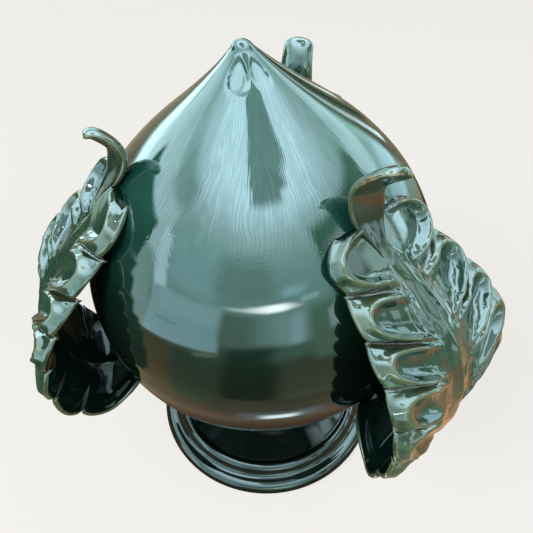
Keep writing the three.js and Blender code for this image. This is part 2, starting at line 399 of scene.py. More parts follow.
@dataclass(frozen=True)
class BudGlaze:
    """Deep green glaze with fine wavy runs on the shoulder, near black below the belly, brown at the neck.

    The near black is painted shade, and the brown is a painted reflection of brown surroundings. The spans
    are heights above the belly, but the brown's are above the neck.
    """

    # Painted shade: the colour that the glaze takes below the belly.
    shade: Colour = (0.004, 0.008, 0.005)
    deep: Colour = (0.004, 0.054, 0.041)
    clear: Colour = (0.012, 0.08, 0.063)
    # A painted reflection of brown surroundings, laid above the neck.
    brown: Colour = (0.1, 0.046, 0.024)
    inside: Colour = (0.33, 0.24, 0.17)
    runs: float = 210.0
    runs_sway: float = 60.0
    runs_span: Span = (56.0 * MM, 74.0 * MM)
    crackle_span: Span = (50.0 * MM, 58.0 * MM)
    lit_span: Span = (12.0 * MM, 90.0 * MM)
    brown_span: Span = (4.0 * MM, 34.0 * MM)
    runs_depth: float = 0.009 * MM
    crackle_depth: float = 0.012 * MM
    swell_depth: float = 0.08 * MM
    gloss: Gloss = Gloss()

    def make(self, bud: Bud) -> bpy.types.Material:
        """Builds the glaze.

        The runs are a sine of the bearing about the axis, a whole number of times round, whose phase sways
        with a noise drawn out downwards. They vary the clear coat, so the shine shows them and stays sharp.

        Args:
            bud: the bud, whose sizes place the runs, the painted shade and the painted brown reflection.

        Returns:
            The material.
        """
        bench = Bench.material("bud_glaze")
        place = bench.place()
        x, y, z = bench.axes(place)
        radius = (x * x + y * y).most(1e-8) ** 0.5
        drawn = bench.vector(x / radius, y / radius, z * 11.0)
        sway = bench.noise(drawn, 3.2, 3.0, 0.55)
        patchy = bench.noise(drawn, 11.0, 2.0, 0.5)
        cloud = bench.noise(place, 26.0, 3.0, 0.55, 0.6)
        upper = z.rise(*self.runs_span, bud.belly_height)
        lines = (y.bearing(x) * self.runs + sway * self.runs_sway).sine() * 0.5 + 0.5
        run = lines * patchy.rise(0.3, 0.62) * upper
        green = bench.blend(cloud.rise(0.38, 0.66), self.deep, self.clear)
        # Painted shade: the lit share fades the green to the near-black shade colour below the belly.
        lit = (z + (cloud - 0.5) * 0.02).rise(*self.lit_span, bud.belly_height)
        green = bench.blend(lit, self.shade, green)
        # Painted reflection: brown over the lowest part, above the neck, where brown surroundings show.
        low = 1.0 - (z + (cloud - 0.5) * 0.012).rise(*self.brown_span, bud.neck_height)
        glazed = bench.blend(low * 0.85, green, self.brown)
        colour = bench.blend(bench.mark("inside"), glazed, self.inside)
        crackle = (bench.noise(place, 90.0, 1.0, 0.5, 0.4) * 95.0).sine() * 0.5 + 0.5
        band = z.rise(*self.crackle_span, bud.belly_height) - upper
        tilt = bench.bump(run * (radius * 22.0).least(1.0), self.runs_depth)
        tilt = bench.bump(crackle * band.most(0.0), self.crackle_depth, tilt)
        tilt = bench.bump(bench.noise(place, 30.0, 1.0, 0.4), self.swell_depth, tilt)
        roughness = bench.mark("inside") * 0.5 + (0.016 + cloud * 0.02)
        return bench.shade({
            "Base Color": colour, "Roughness": roughness, "Normal": tilt, "Coat Weight": run * 0.55 + 0.08,
            **self.gloss.sockets(),
        })


@dataclass(frozen=True)
class FootGlaze:
    """Near-black green glaze, painted shade under the bud, glassy over the beads and two sides of the throat
    as a painted sheen, with a bare underside.
    """

    deep: Colour = (0.001, 0.003, 0.002)
    clear: Colour = (0.006, 0.014, 0.011)
    clay: Colour = (0.42, 0.27, 0.17)
    grit: Colour = (0.3, 0.18, 0.11)
    swell_depth: float = 0.2 * MM
    grit_depth: float = 0.12 * MM
    gloss: Gloss = Gloss(ior=1.06)

    def make(self) -> bpy.types.Material:
        """Builds the glaze.

        Returns:
            The material.
        """
        bench = Bench.material("foot_glaze")
        place = bench.place()
        cloud = bench.noise(place, 40.0, 3.0, 0.6, 0.4)
        bead, bare = bench.mark("bead"), bench.mark("bare")
        # Painted shade and sheen: both greens are near black for the shade under the bud, and the glassy mark
        # lifts them a little over the beads and the throat's two sides.
        green = bench.blend((cloud * 0.7 + bead * 0.4).rise(0.4, 0.95), self.deep, self.clear)
        grit = bench.noise(place, 900.0, 3.0, 0.7)
        clay = bench.blend(grit.rise(0.35, 0.7), self.clay, self.grit)
        tilt = bench.bump(bench.noise(place, 60.0, 1.0, 0.4), self.swell_depth)
        return bench.shade({
            "Base Color": bench.blend(bare, green, clay),
            "Roughness": bare * 0.7 + (0.03 + cloud * 0.03),
            "Normal": bench.bump(grit * bare, self.grit_depth, tilt),
            "Coat Weight": bead * (1.0 - bare),
            **self.gloss.sockets(),
        })


@dataclass(frozen=True)
class LeafGlaze:
    """Deep green glaze that breaks yellow and cream over rims and pools in hollows, with painted shadow
    browning the valleys and painted shade, highlights and brown reflections.
    """

    name: str = "leaf_glaze"
    deep: Colour = (0.003, 0.036, 0.024)
    green: Colour = (0.009, 0.04, 0.022)
    sage: Colour = (0.038, 0.075, 0.042)
    yellow: Colour = (0.1, 0.125, 0.048)
    cream: Colour = (0.42, 0.38, 0.22)
    # brown paints the shadow in the valleys, rust a reflection of brown surroundings, and night shade.
    brown: Colour = (0.035, 0.018, 0.009)
    rust: Colour = (0.2, 0.09, 0.036)
    night: Colour = (0.002, 0.012, 0.009)
    swell_depth: float = 1.2 * MM
    gloss: Gloss = Gloss(ior=1.2, coat_ior=1.64)

    def make(self) -> bpy.types.Material:
        """Builds the glaze, each colour laid over those before it.

        Returns:
            The material.
        """
        bench = Bench.material(self.name)
        place = bench.place()
        cloud = bench.noise(place, 48.0, 4.0, 0.6, 1.2)
        fleck = bench.noise(place, 210.0, 3.0, 0.6, 0.6)
        drift, speck = cloud - 0.5, fleck - 0.5
        under = bench.mark("under")
        # Painted reflection: rust-brown where brown surroundings show, over the leaves' lower parts and the
        # straps' faces away from the bud; it also browns the combed band by the midrib and dulls the coat.
        brown_share = (bench.mark("brown") + drift * 1.4 + speck * 0.7).rise(0.35, 1.0) * 0.85
        colour = bench.blend((cloud * 0.7 + fleck * 0.3).rise(0.38, 0.62), self.green, self.sage)
        layers = (
            ((bench.mark("rim") + drift * 0.8).rise(0.3, 0.9) * 0.8, self.yellow),
            # Deep green where the glaze pools in the dishes, with painted shadow in a ring at each dish's
            # border and painted shade on the inner faces.
            ((bench.mark("pool") + drift * 0.5).rise(0.25, 0.8), self.deep),
            # Painted shadow: brown in the valleys between the lobes.
            ((bench.mark("valley") + speck * 0.5).rise(0.35, 0.8) * 0.85, self.brown),
            (brown_share, self.rust),
            # Painted shade: night over the inner faces that turn to the bud.
            (under, self.night),
            # Cream along the lips, partly the glaze breaking pale and partly a painted highlight.
            ((bench.mark("lip") + speck * 1.1 + drift * 0.6).rise(0.6, 1.0) * 0.6, self.cream),
        )
        for share, tint in layers:
            colour = bench.blend(share, colour, tint)
        return bench.shade({
            "Base Color": colour,
            "Roughness": 0.02 + fleck * 0.03,
            "Normal": bench.bump(bench.noise(place, 60.0, 1.0, 0.4, 0.6), self.swell_depth),
            "Coat Weight": 0.9 - under * 0.8 - brown_share * 0.45,
            **self.gloss.sockets(),
        })


@dataclass
class Bud:
    """The thrown bud: an ellipse below the belly, and above it a cosine with a fuller shoulder.

    A wobble is a share of the radius, its waves and their phase. A thumb's press is an azimuth, a height, a
    half turn, its reach down and up, and its depth.
    """

    radius: float = 86.0 * MM
    neck_radius: float = 31.0 * MM
    neck_height: float = 56.0 * MM
    belly_height: float = 132.4 * MM
    tip_height: float = 248.3 * MM
    fullness: float = 1.4 * MM
    waist: float = 2.6 * MM
    nib_round: float = 5.0 * MM
    nib_depth: float = 17.0 * MM
    nib_lean: float = 4.4 * MM
    lean_start: float = 205.0 * MM
    lean_azimuth: float = 197.0
    wall: float = 6.0 * MM
    throw_depth: float = 0.06 * MM
    throw_pitch: float = 3.6 * MM
    wobble: tuple = ((0.0016, 3.0, 0.7), (0.0012, 2.0, 2.1))
    presses: tuple = (
        (-90.0, 238.6 * MM, 25.0, 5.2 * MM, 6.0 * MM, 2.0 * MM),
        (-45.0, 239.2 * MM, 20.0, 4.4 * MM, 4.8 * MM, 1.6 * MM),
    )
    rings: int = 260
    sides: int = 320

    def radius_at(self, z: Array) -> Array:
        """The outer radius at heights.

        Below the belly it is an ellipse through the neck. Above it is the cosine of a quarter turn plus a
        half sine for the shoulder and a whole sine of the squared height for the waist, and it blends into
        a ball that rounds the tip.

        Args:
            z: the heights.

        Returns:
            The radii.
        """
        z = np.asarray(z, dtype=float)
        share = math.sqrt(1.0 - (self.neck_radius / self.radius) ** 2)
        reach = (self.belly_height - self.neck_height) / share
        drop = self.belly_height - np.maximum(z, self.neck_height)
        below = self.radius * np.sqrt(np.maximum(1.0 - (drop / reach) ** 2, 0.0))
        peak = self.tip_height + self.nib_round * (math.sqrt(2.0) - 1.0)
        t = np.clip((z - self.belly_height) / (peak - self.belly_height), 0.0, 1.0)
        above = self.radius * np.cos(np.pi * t / 2.0)
        above += self.fullness * np.sin(np.pi * t) + self.waist * np.sin(2.0 * np.pi * t * t)
        depth = np.maximum(self.tip_height - z, 0.0)
        ball = np.sqrt(np.maximum(depth * (2.0 * self.nib_round - depth), 0.0))
        share = smooth(0.2 * self.nib_round, 0.9 * self.nib_round, depth)
        above = ball * (1.0 - share) + above * share
        return np.where(z < self.belly_height, below, above)

    def pinch(self, angle: Array, z: Array) -> Array:
        """How deep the thumbs that closed the nib pressed into it.

        Each press is an oval of bearing and height, taller above its middle than below. It is deeper at its
        top than at its foot, and rises by a smooth step to its lip.

        Args:
            angle: bearings in radians.
            z: heights.

        Returns:
            The depths.
        """
        depth = np.zeros_like(z)
        for azimuth, height, half_turn, low, high, deep in self.presses:
            turn = (np.degrees(angle) - azimuth + 180.0) % 360.0 - 180.0
            rise = (z - height) / np.where(z < height, low, high)
            reach = np.hypot(turn / half_turn, rise)
            slope = 0.65 + 0.35 * np.clip(rise, -1.0, 1.0)
            depth = np.maximum(depth, deep * slope * (1.0 - smooth(0.55, 1.0, reach)))
        return depth

    def build(self) -> bpy.types.Object:
        """Revolves the outer face up to the tip and the inner face down to the neck, and leans the nib.

        Returns:
            The bud's object.
        """
        spread = (1.0 - np.cos(np.pi * np.linspace(0.0, 1.0, self.rings))) / 2.0
        z_out = self.neck_height + (self.tip_height - self.neck_height) * spread
        r_out = self.radius_at(z_out)
        z_in = z_out[::6][::-1]
        step = 0.5 * MM
        fall = np.abs(self.radius_at(z_in + step) - self.radius_at(z_in - step)) / (2.0 * step)
        slope = np.minimum(fall, 1.2)
        shift = self.wall / np.hypot(1.0, slope)
        r_in = self.radius_at(z_in) - shift
        lowered = z_in - np.where(z_in > self.belly_height, shift * slope, 0.0)
        keep = (r_in > self.wall) & (lowered < self.tip_height - self.nib_depth)
        r_in, z_in = r_in[keep], lowered[keep]
        r_in[-1], z_in[-1] = self.neck_radius - self.wall, self.neck_height
        radii = np.concatenate([r_in, r_out[:-1]])
        heights = np.concatenate([z_in, z_out[:-1]])
        angle = np.linspace(0.0, 2.0 * np.pi, self.sides, endpoint=False)
        hand = 1.0 + sum(size * np.sin(waves * angle + phase) for size, waves, phase in self.wobble)
        throw = self.throw_depth * np.sin(heights / self.throw_pitch)
        z = np.repeat(heights[:, None], self.sides, axis=1)
        outer = np.arange(len(radii))[:, None] >= len(r_in)
        dent = self.pinch(np.broadcast_to(angle, z.shape), z) * outer
        r = radii[:, None] * hand[None, :] + throw[:, None] - dent
        ends = [[0.0, 0.0, self.tip_height], [0.0, 0.0, self.tip_height - self.nib_depth]]
        points = np.vstack([revolve(r, z, angle), ends])
        share = np.clip((points[:, 2] - self.lean_start) / (self.tip_height - self.lean_start), 0.0, 1.0)
        lean = math.radians(self.lean_azimuth)
        points[:, :2] += np.outer(self.nib_lean * share**1.6, [math.cos(lean), math.sin(lean)])
        rings = len(radii)
        tip, roof = rings * self.sides, rings * self.sides + 1
        faces = ring_faces(rings, self.sides).tolist()
        last = (rings - 1) * self.sides
        faces += [(last + j, last + (j + 1) % self.sides, tip) for j in range(self.sides)]
        faces += [((j + 1) % self.sides, j, roof) for j in range(self.sides)]
        inside = np.zeros(len(points))
        inside[: len(r_in) * self.sides] = 1.0
        inside[roof] = 1.0
        return make_object("glazed_bud", points, faces, {"inside": inside})


@dataclass
class Foot:
    """The pedestal: a bead at the rim, a smaller bead above it and a hollow curve up to the neck."""

    radius: float = 69.8 * MM
    height: float = 56.0 * MM
    neck_radius: float = 31.0 * MM
    rim_bead: float = 4.7 * MM
    step_bead: float = 3.4 * MM
    step_radius: float = 59.5 * MM
    floor: float = 6.0 * MM
    wall: float = 6.0 * MM
    vent_radius: float = 4.5 * MM
    vent_offset: float = 20.0 * MM
    pole: float = 0.4 * MM
    lap: float = 0.4 * MM
    bare_edge: float = 2.0 * MM
    floor_edge: float = 3.0 * MM
    sides: int = 240

    def throat(self, s: Array) -> Array:
        """The outer radius of the hollow curve, from the second bead at 0 to the neck at 1."""
        spread = self.step_radius - 1.6 * self.step_bead - self.neck_radius
        return self.neck_radius + spread * (1.0 - s) ** 2.3

    @staticmethod
    def arc(centre: Array, size: float, span: Span, steps: int) -> Array:
        """Points of a bead's round section.

        Args:
            centre: its distance from the axis, and its height.
            size: the bead's own radius.
            span: the first and the last angle in degrees.
            steps: how many steps to take.

        Returns:
            Rows of radius and height.
        """
        angle = np.radians(np.linspace(*span, steps + 1))
        return centre + size * np.stack([np.cos(angle), np.sin(angle)], axis=-1)

    def pool(self, profile: Array, low: Array, high: Array) -> Array:
        """Lets the glaze pool in the groove between the beads, up to half way to their shared tangent.

        Args:
            profile: rows of radius and height.
            low: the rim bead's middle.
            high: the second bead's middle.

        Returns:
            The filled profile.
        """
        gap = high - low
        turn = math.atan2(gap[1], gap[0]) - math.acos((self.rim_bead - self.step_bead) / math.hypot(*gap))
        across = np.array([math.cos(turn), math.sin(turn)])
        along = np.array([-across[1], across[0]])
        short = low @ across + self.rim_bead - profile @ across
        place = (profile - low) @ along / float(gap @ along)
        near = (place > 0.0) & (place < 1.0) & (short > 0.0) & (short < self.rim_bead)
        return profile + across * np.where(near, 0.45 * short, 0.0)[:, None]

    def build(self) -> bpy.types.Object:
        """Revolves the profile: bare underside, two beads, hollow curve, and the inside down to the floor.

        Returns:
            The foot's object.
        """
        rim = np.array([self.radius - self.rim_bead, self.rim_bead])
        step = np.array([self.step_radius - self.step_bead, 2.0 * self.rim_bead + 0.6 * self.step_bead])
        start = step[1] + self.step_bead
        up = np.linspace(0.0, 1.0, 44)
        outer = np.stack([self.throat(up), start + (self.height + self.lap - start) * up], axis=-1)
        low = self.floor + self.floor_edge
        down = up[::-3]
        inner = np.stack([self.throat(down) - self.wall, low + (self.height - low) * down], axis=-1)
        profile = np.vstack([
            [[self.pole, 0.0], [rim[0] - self.bare_edge, 0.0]],
            self.arc(rim, self.rim_bead, (-90.0, 104.0), 26),
            self.arc(step, self.step_bead, (-46.0, 112.0), 20),
            outer,
            inner,
            [[inner[-1, 0] - self.floor_edge, self.floor], [self.pole, self.floor]],
        ])
        profile = self.pool(profile, rim, step)
        rings = len(profile)
        angle = np.linspace(0.0, 2.0 * np.pi, self.sides, endpoint=False)
        points = revolve(profile[:, :1], profile[:, 1:], angle)
        faces = ring_faces(rings, self.sides).tolist()
        faces.append(list(range(self.sides))[::-1])
        faces.append([(rings - 1) * self.sides + j for j in range(self.sides)])
        radius, height = profile[:, 0], profile[:, 1]
        bare = (height < 0.2 * MM) & (radius < rim[0] + 0.5 * MM)
        crown = self.step_radius - 1.2 * self.step_bead
        bead = smooth(crown, crown + 0.6 * self.step_bead, radius)
        throat = smooth(0.12 * self.height, 0.3 * self.height, height)
        # Painted sheen: the throat is glassy only on its sides toward +X and -X, left and right in the view;
        # its front and back stay dull and dark as painted shade.
        thick = 0.015 + 0.9 * smooth(0.68, 0.84, np.abs(np.cos(angle)))
        glassy = np.maximum(bead[:, None], throat[:, None] * thick[None, :])
        marks = {"bare": np.repeat(bare.astype(float), self.sides), "bead": glassy.ravel()}
        piece = make_object("glazed_foot", points, faces, marks)
        self.cut_vent(piece)
        return piece

    def cut_vent(self, piece: bpy.types.Object) -> None:
        """Cuts the small vent through the floor, off the middle.

        Args:
            piece: the foot.
        """
        sides = 32
        angle = np.linspace(0.0, 2.0 * np.pi, sides, endpoint=False)
        ring = np.stack([np.cos(angle), np.sin(angle)], axis=-1) * self.vent_radius + [0.0, self.vent_offset]
        points = np.vstack([np.c_[ring, np.full(sides, h)] for h in (-self.floor, 2.0 * self.floor)])
        faces = ring_faces(2, sides).tolist()
        faces += [list(range(sides))[::-1], list(range(sides, 2 * sides))]
        tool = make_object("vent_tool", points, faces, {})
        cut = piece.modifiers.new("vent", "BOOLEAN")
        cut.operation, cut.solver, cut.object = "DIFFERENCE", "EXACT", tool
        graph = bpy.context.evaluated_depsgraph_get()
        mesh = bpy.data.meshes.new_from_object(piece.evaluated_get(graph))
        piece.modifiers.clear()
        piece.data = mesh
        bpy.data.objects.remove(tool)


@dataclass
class Clay:
    """A piece of clay that lies against one side of the bud, in the upright plane at that side's bearing."""

    side: Side
    bud: Bud

    def lay(self, spine: Spine, u: Array, across: Array, out: Array, clear: Array) -> Array:
        """Moves points of a spine sideways, and outwards along its normal.

        A point that would then be nearer to the bud than its clearance moves straight out from the axis.

        Args:
            spine: the distance from the axis, and the height.
            u: each point's share of the spine's length.
            across: its move sideways.
            out: its move outwards.
            clear: its clearance.

        Returns:
            The points, one row each.
        """
        at, run = spine.at(u), spine.along(u)
        radius = at[..., 0] - run[..., 1] * out
        z = at[..., 1] + run[..., 0] * out
        cos, sin = math.cos(self.side.turn), math.sin(self.side.turn)
        x, y = radius * cos - across * sin, radius * sin + across * cos
        grow = np.maximum(1.0, (self.bud.radius_at(z) + clear) / np.hypot(x, y))
        return np.stack([x * grow, y * grow, z], axis=-1).reshape(-1, 3)


@dataclass
class Leaf(Clay):
    """An acanthus leaf: a creased midrib that bellies out and curls back in, with dished and rimmed lobes.

    The first five values tell one hand-pressed leaf from the next. All are lengths, but the tuck is a share.
    The midrib's run pairs shares of the leaf's height with shares of its bulge.
    """

    bottom_height: float
    bulge: float
    tuck: float
    sway: float
    cant: float
    root_height: float = 200.4 * MM
    half_width: float = 42.5 * MM
    tip_half_width: float = 5.0 * MM
    shoulder: float = 6.0 * MM
    clay: float = 4.8 * MM
    arch: float = 1.5 * MM
    cup: float = 3.5 * MM
    crest: float = 3.0 * MM
    crest_width: float = 6.0 * MM
    lobe_rim: float = 3.4 * MM
    lobe_dip: float = 2.6 * MM
    lobe_tilt: float = 1.4 * MM
    lobe_dish: float = 3.2 * MM
    lobe_lift: float = 2.0 * MM
    combing: float = 0.18 * MM
    comb_pitch: float = 0.48 * MM
    ripple: float = 0.24 * MM
    scallop: float = 0.07
    sweep: float = 0.13
    calm: float = 0.5
    widest: float = 0.46
    tip_rise: float = 8.0 * MM
    tip_gap: float = 1.6 * MM
    seat: float = -0.3 * MM
    midrib_run: tuple = (
        (0.876, 0.13), (0.766, 0.283), (0.623, 0.518), (0.461, 0.68),
        (0.299, 0.825), (0.149, 0.952), (0.039, 1.0), (0.0, 0.82),
    )
    lobe_ends: tuple = (0.0, 0.115, 0.22, 0.325, 0.44, 0.57, 0.715, 1.0)
    steps_along: int = 250
    steps_across: int = 104

    def spine(self) -> Spine:
        """Works out the midrib on the leaf's outer face.

        Returns:
            The curve of distance from the axis, and height.
        """
        tall = self.root_height - self.bottom_height
        points = [(float(self.bud.radius_at(self.root_height)) + self.clay, self.root_height)]
        for up, out in self.midrib_run:
            z = self.bottom_height + tall * up
            tucked = 1.0 - self.tuck * float(smooth(0.75, 0.1, np.array(up)))
            points.append((float(self.bud.radius_at(z)) + self.bulge * out * tucked, z))
        tip = self.bottom_height + self.tip_rise
        points.append((float(self.bud.radius_at(tip)) + self.tip_gap, tip))
        return Spine(points)

    def lobes(self, w: Array) -> tuple[Array, Array]:
        """How far through its lobe a ring lies, and how far the lobe swells there.

        Args:
            w: the rings' shares of the edge's length.

        Returns:
            The phase, 0 at the upper valley and 1 at the lower one, and the root of its half sine.
        """
        ends = np.array(self.lobe_ends)
        lobe = np.clip(np.searchsorted(ends, w, side="right") - 1, 0, len(ends) - 2)
        phase = np.clip((w - ends[lobe]) / (ends[lobe + 1] - ends[lobe]), 0.0, 1.0)
        return phase, np.sqrt(np.sin(np.pi * phase))

    def half_span(self, u: Array) -> tuple[Array, Array]:
        """The half width at shares of the midrib's length.

        It tapers to both ends by the root of one less a power of the distance from the widest place, and a
        bell widens the shoulder.

        Args:
            u: the shares.

        Returns:
            The half width, and the taper from 0 to 1 that it was made with.
        """
        away = u - self.widest
        root = 0.93 * np.maximum(-away / self.widest, 0.0) ** 1.4
        tip = 0.985 * np.maximum(away / (1.0 - self.widest), 0.0) ** 1.9
        taper = np.sqrt(np.clip(1.0 - root - tip, 0.0, 1.0))
        half = self.tip_half_width + (self.half_width - self.tip_half_width) * taper
        return half + self.shoulder * bell(u, 0.04, 0.06), taper

    def relief(self, phase: Array, a: Array, strength: Array) -> tuple[Array, ...]:
        """The lobes' height above the leaf's plain face.

        Reach is a rounded distance from the lobe's middle, 1 on its border. The height is a bell of reach for
        the rolled rim, less a step into the valley, plus a tilt that laps each lobe over the next, less a
        thumbed dish in the middle. All of it fades out towards the midrib.

        Args:
            phase: how far through its lobe each point lies.
            a: how far out from the midrib, as a share of the half width.
            strength: how strong the modelling is there.

        Returns:
            The height, and how much each point is rim, pool and valley, from 0 to 1. The valley share places
            painted shadow between the lobes, and the pool share holds a ring of painted shadow at each dish's
            border.
        """
        p = 2.0 * phase - 1.0
        q = np.maximum((a - 0.45) / 0.55, 0.0)
        reach = (np.abs(p) ** 2.6 + q**2.6) ** (1.0 / 2.6)
        fade = smooth(0.1, 0.5, a)
        rolled = bell(reach, 0.76, 0.15)
        valley = smooth(0.88, 1.0, np.abs(p)) * smooth(0.15, 0.75, a)
        dish = bell(p, 0.1, 0.5) * bell(a, 0.56, 0.25)
        height = self.lobe_rim * rolled - self.lobe_dip * valley + self.lobe_lift
        height += self.lobe_tilt * p * smooth(0.3, 0.8, a)
        height = height * fade - self.lobe_dish * dish
        crown = bell(reach, 0.8, 0.15) * fade * (1.0 - valley)
        # Painted shadow: the valley share browns the valleys between the lobes.
        valley_shadow = smooth(0.84, 0.95, np.abs(p)) * smooth(0.2, 0.6, a)
        # The ring at the dish's border adds painted shadow under the rim to the pool.
        dish = np.maximum(0.75 * dish, bell(reach, 0.58, 0.07) * smooth(0.25, 0.5, a))
        return height * strength, crown * strength, dish * strength, valley_shadow * np.sqrt(strength)

    def build(self) -> bpy.types.Object:
        """Works out both faces of the leaf as one closed skin.

        A ring at a share w of the edge meets the midrib further down, by the sweep. Each point is the
        midrib's point moved sideways by v times the half width, in by the arch times v squared, out by a
        cant times v, and out by the lobes' relief, which the inner face follows in part. The crest is an
        exponential on each side of the midrib.

        Returns:
            The leaf's object.
        """
        n = self.steps_across
        even = 1.0 - 2.0 * np.arange(n + 1) / n
        across = 0.5 * (np.sin(np.pi / 2.0 * even) + even)
        round_trip = np.concatenate([across, across[::-1][1:-1]])
        w, v = np.meshgrid(np.linspace(0.0, 1.0, self.steps_along + 1), round_trip, indexing="ij")
        outer = np.broadcast_to(np.arange(2 * n) <= n, w.shape)
        a = np.abs(v)
        swept = smooth(0.0, 0.2, w) * (1.0 - smooth(0.55, 1.0, w))
        u = w + self.sweep * (1.0 - a) * swept
        phase, swell = self.lobes(w)
        half, taper = self.half_span(u)
        width = half * (1.0 - self.scallop + 1.3 * self.scallop * swell)
        end = np.sqrt(1.0 - (1.0 - np.clip(np.minimum(w, 1.0 - w) / 0.03, 0.0, 1.0)) ** 2 * 0.96)
        strength = (1.0 - self.calm * smooth(0.35, 0.7, u)) * end
        relief, crown, dish, valley_shadow = self.relief(phase, a, strength)
        edge = np.sqrt(np.maximum(1.0 - a**8, 0.0))
        follow = 0.75 * smooth(0.3, 0.9, a)
        share = np.where(outer, follow + (1.0 - follow) * edge, follow)
        skin = self.clay / 2.0 * end * edge * np.where(outer, 1.0, -1.0)
        crest = self.crest * np.exp(-a * half / self.crest_width) * np.sqrt(taper) * np.where(outer, 1.0, 0.6)
        comb = self.combing * np.sin(a * half / self.comb_pitch + 1.5 * np.sin(9.0 * u)) * bell(a, 0.24, 0.15)
        comb = comb * np.where(outer, 1.0 - smooth(0.4, 0.65, u), 0.0) * end
        flow, fall = v * half / MM, u * 150.0
        ripple = np.sin(0.42 * flow + 2.1 * np.sin(0.11 * fall) + 0.5)
        ripple *= np.sin(0.27 * fall + 1.7 * np.sin(0.2 * flow))
        ripple += 0.5 * np.sin(0.9 * flow - 0.31 * fall + 1.3 * np.sin(0.37 * fall))
        comb += self.ripple * ripple * np.where(outer, end * edge, 0.0)
        arch = (self.arch + self.cup * bell(u, 0.8, 0.18)) * taper
        offset = skin + crest + comb + relief * share
        offset += self.cant * v * taper - self.clay / 2.0 - self.crest - arch * a**2
        tau = v * width + self.sway * np.sin(np.pi * np.minimum(u / 0.8, 1.0))
        clear = self.seat + np.where(outer, 0.9 * self.clay * np.maximum(edge, 0.25), 0.0)
        points = self.lay(self.spine(), u, tau, offset, clear)
        # The lip turns cream: partly the glaze breaking pale, partly a painted highlight.
        lip = bell(a, 0.985, 0.02)
        # Painted reflection: the brown mark lies over each leaf's lower part, most on the half of each side
        # leaf that turns toward -Y, the camera's side.
        facing = math.cos(self.side.turn)
        lee = smooth(-0.5, -0.08, v * facing) * abs(facing) * (1.0 - 0.62 * smooth(0.2, 0.55, a))
        low = np.maximum(smooth(0.45, 0.75, u) * lee, 0.35 * smooth(0.6, 0.95, u))
        ribbed = bell(a, 0.2, 0.1) * (1.0 - smooth(0.3, 0.6, u))
        marks = {
            "rim": np.where(outer, np.maximum(0.8 * crown, 0.6 * lip), lip),
            "lip": 0.7 * lip,
            # Painted shade: the inner face, all but its lip, takes the pool and under marks.
            "pool": np.where(outer, dish, 1.0 - lip),
            "valley": valley_shadow * outer,
            "brown": np.maximum(low, 0.5 * ribbed) * outer,
            "under": (1.0 - lip) * ~outer,
        }
        return make_object(f"acanthus_{self.side.label}", points, folded_faces(*w.shape), marks)


@dataclass
class Stem(Clay):
    """A strap of clay that grows out of its leaf's midrib, cups, and hooks outward at the top.

    The first six values tell one strap from the next: three lengths, two shares of the reach, and degrees.
    """

    rise: float
    reach: float
    hook: float
    lean: float
    crest: float
    turn: float
    leaf_root: float = Leaf.root_height
    leaf_clay: float = Leaf.clay
    lap: float = 14.4 * MM
    shift: float = 3.0 * MM
    width: float = 15.0 * MM
    clay: float = 4.2 * MM
    cup: float = 1.5 * MM
    bite: float = 0.2 * MM
    rings: int = 150
    sides: int = 56

    def spine(self) -> Spine:
        """Works out the strap's middle line.

        Returns:
            The curve of distance from the axis, and height.
        """
        low = self.leaf_root - self.lap
        base = float(self.bud.radius_at(self.leaf_root)) + 0.5 * self.leaf_clay
        return Spine([
            (float(self.bud.radius_at(low)) + 0.5 * self.leaf_clay, low),
            (base + 0.43 * self.leaf_clay, low + 0.36 * self.rise),
            (base + self.lean * self.reach, low + 0.72 * self.rise),
            (base + self.crest * self.reach, low + self.rise),
            (base + self.reach, low + self.rise - self.hook),
        ])

    def build(self) -> bpy.types.Object:
        """Sweeps a cupped section up the strap's curve.

        The section is a flattened oval whose middle sinks below its edges by the cup times the square of the
        place across. It twists by a smooth step, flares at the root and thins there into the leaf.

        Returns:
            The strap's object.
        """
        s = (1.0 - np.cos(np.pi * np.linspace(0.0, 1.0, self.rings))) / 2.0
        angle = 2.0 * np.pi * (np.arange(self.sides) + 0.5) / self.sides
        ss, aa = np.meshgrid(s, angle, indexing="ij")
        end = np.sqrt(np.maximum(1.0 - 0.97 * np.abs(2.0 * ss - 1.0) ** 14, 0.0))
        v = np.sign(np.cos(aa)) * np.abs(np.cos(aa)) ** 0.6
        flare = 0.3 + 0.8 * smooth(0.0, 0.42, ss) - 0.13 * smooth(0.45, 0.9, ss)
        thick = self.clay / 2.0 * end * (0.35 + 0.65 * smooth(0.0, 0.25, ss))
        flat = v * self.width / 2.0 * flare * end
        deep = np.sin(aa) * thick - self.cup * v**2
        turn = math.radians(self.turn) * smooth(0.1, 0.9, ss)
        tau = flat * np.cos(turn) - deep * np.sin(turn) - self.shift
        offset = flat * np.sin(turn) + deep * np.cos(turn)
        clear = 0.4 * self.clay * (1.0 - np.sin(aa)) - self.bite
        points = self.lay(self.spine(), ss, tau, offset, clear)
        edge = bell(np.abs(v), 0.97, 0.1)
        # under marks the strap's face away from the bud.
        under = smooth(0.1, 0.7, -np.sin(aa))
        marks = {
            "rim": np.maximum(edge, smooth(0.93, 1.0, ss)) * smooth(0.15, 0.4, ss),
            "lip": 0.75 * edge * smooth(0.4, 0.8, ss),
            "pool": 0.5 * (1.0 - edge) * (1.0 - under),
            # Painted shade and dark reflection: brown low down the strap, rust and night over its face away
            # from the bud, and night over its root.
            "valley": 0.6 * bell(ss, 0.35, 0.2) * (1.0 - edge),
            "brown": 0.35 * under + 0.25 * bell(ss, 0.45, 0.18),
            "under": np.maximum(0.3 * under, 0.6 * (1.0 - smooth(0.3, 0.65, ss))),
        }
        return make_object(f"strap_{self.side.label}", points, folded_faces(*ss.shape), marks)


